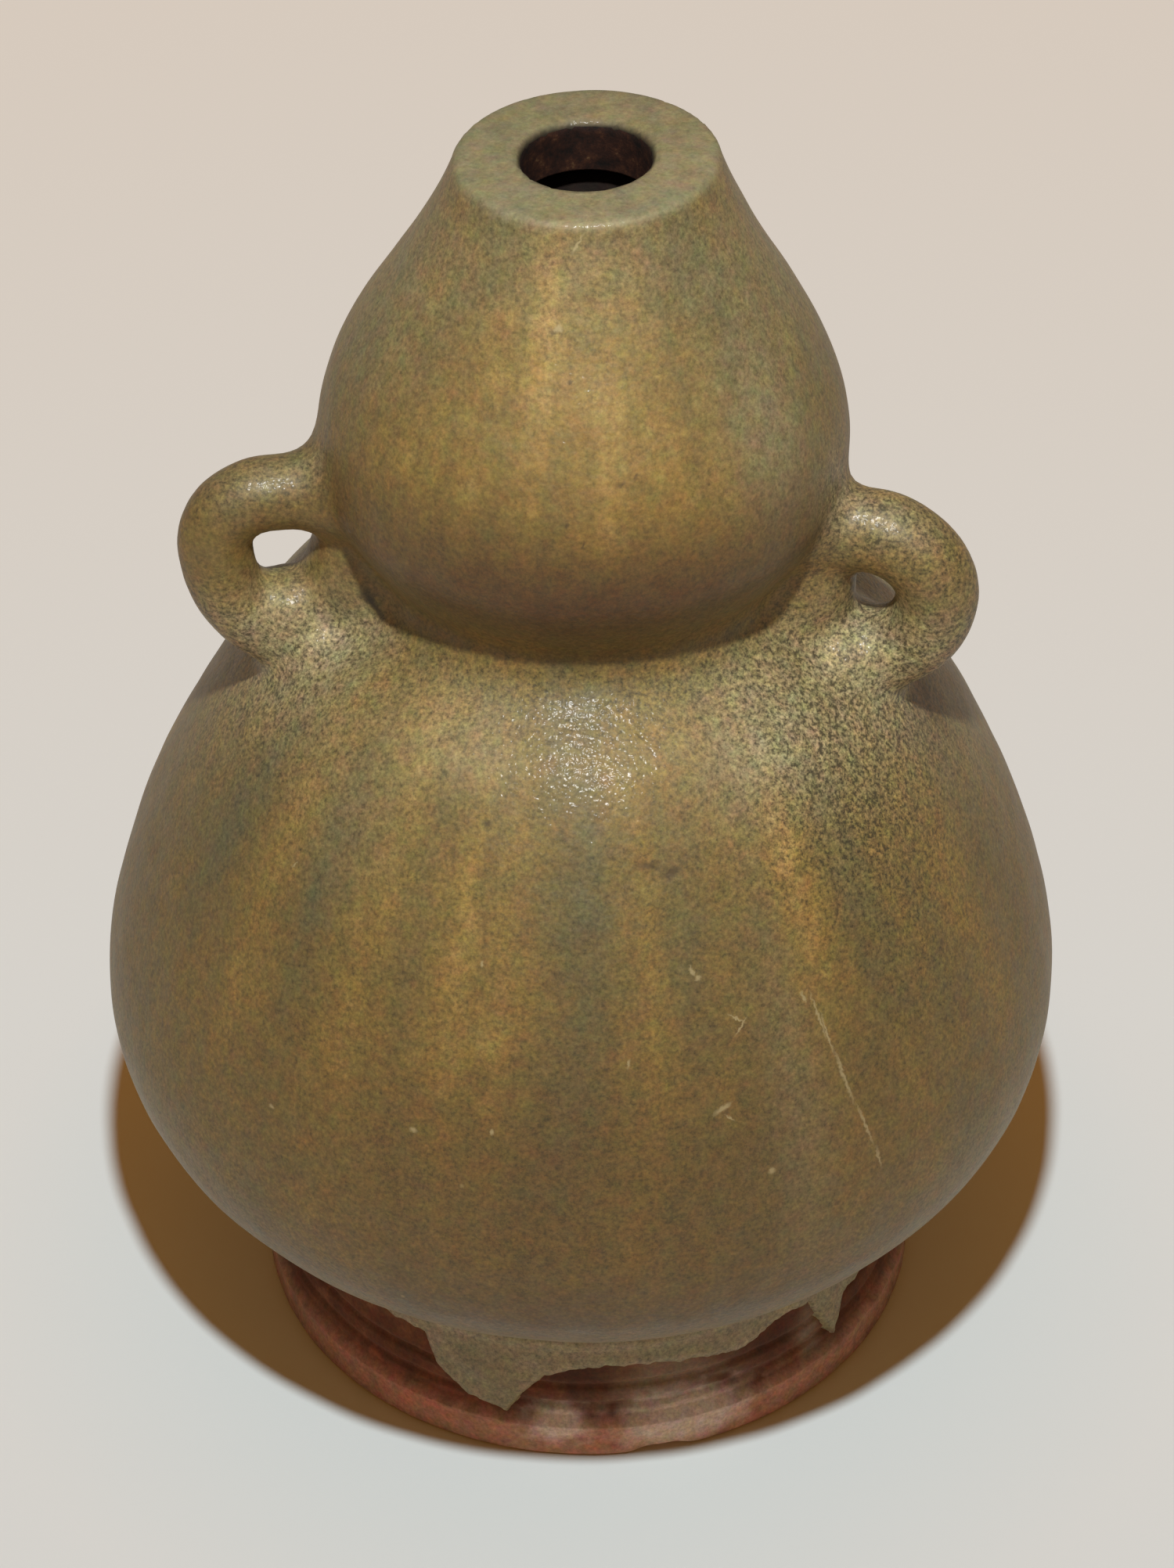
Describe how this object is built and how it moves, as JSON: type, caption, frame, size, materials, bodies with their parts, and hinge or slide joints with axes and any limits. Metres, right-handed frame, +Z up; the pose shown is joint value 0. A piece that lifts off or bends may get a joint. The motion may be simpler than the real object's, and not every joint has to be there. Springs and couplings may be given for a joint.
{
  "type": "double gourd vase",
  "caption": "Small double gourd bottle vase in olive glazed stoneware, with a narrow bore, coil loops at the waist and a bare turned foot ring.",
  "frame": {"origin": "centre of the foot ring's base, on the surface the vase stands on", "axes": "+Z up along the vase's turning axis; the front faces -Y, with the loops on -X and +X turned 16 and 9 degrees towards it"},
  "size_m": [0.081, 0.081, 0.1112],
  "materials": {
    "olive_glaze": "fired olive celadon glaze, satin gloss, mottled ochre to grey-green, fine orange peel",
    "bare_clay": "unglazed iron-rich stoneware, turned, dry and reddish brown",
    "inner_clay": "thrown stoneware body, unglazed and rough, dark brown inside",
    "slip": "pale luting slip, matt"
  },
  "bodies": {
    "root": {"foot_ring": "bare_clay", "foot_slip": "slip", "lower_bulb": "inner_clay", "waist_slip": "slip", "upper_bulb": "inner_clay", "left_handle": "inner_clay", "left_handle_glaze": "olive_glaze", "left_top_slip": "slip", "left_root_slip": "slip", "right_handle": "inner_clay", "right_handle_glaze": "olive_glaze", "right_top_slip": "slip", "right_root_slip": "slip", "lower_glaze": "olive_glaze", "upper_glaze": "olive_glaze"}
  },
  "joints": []
}
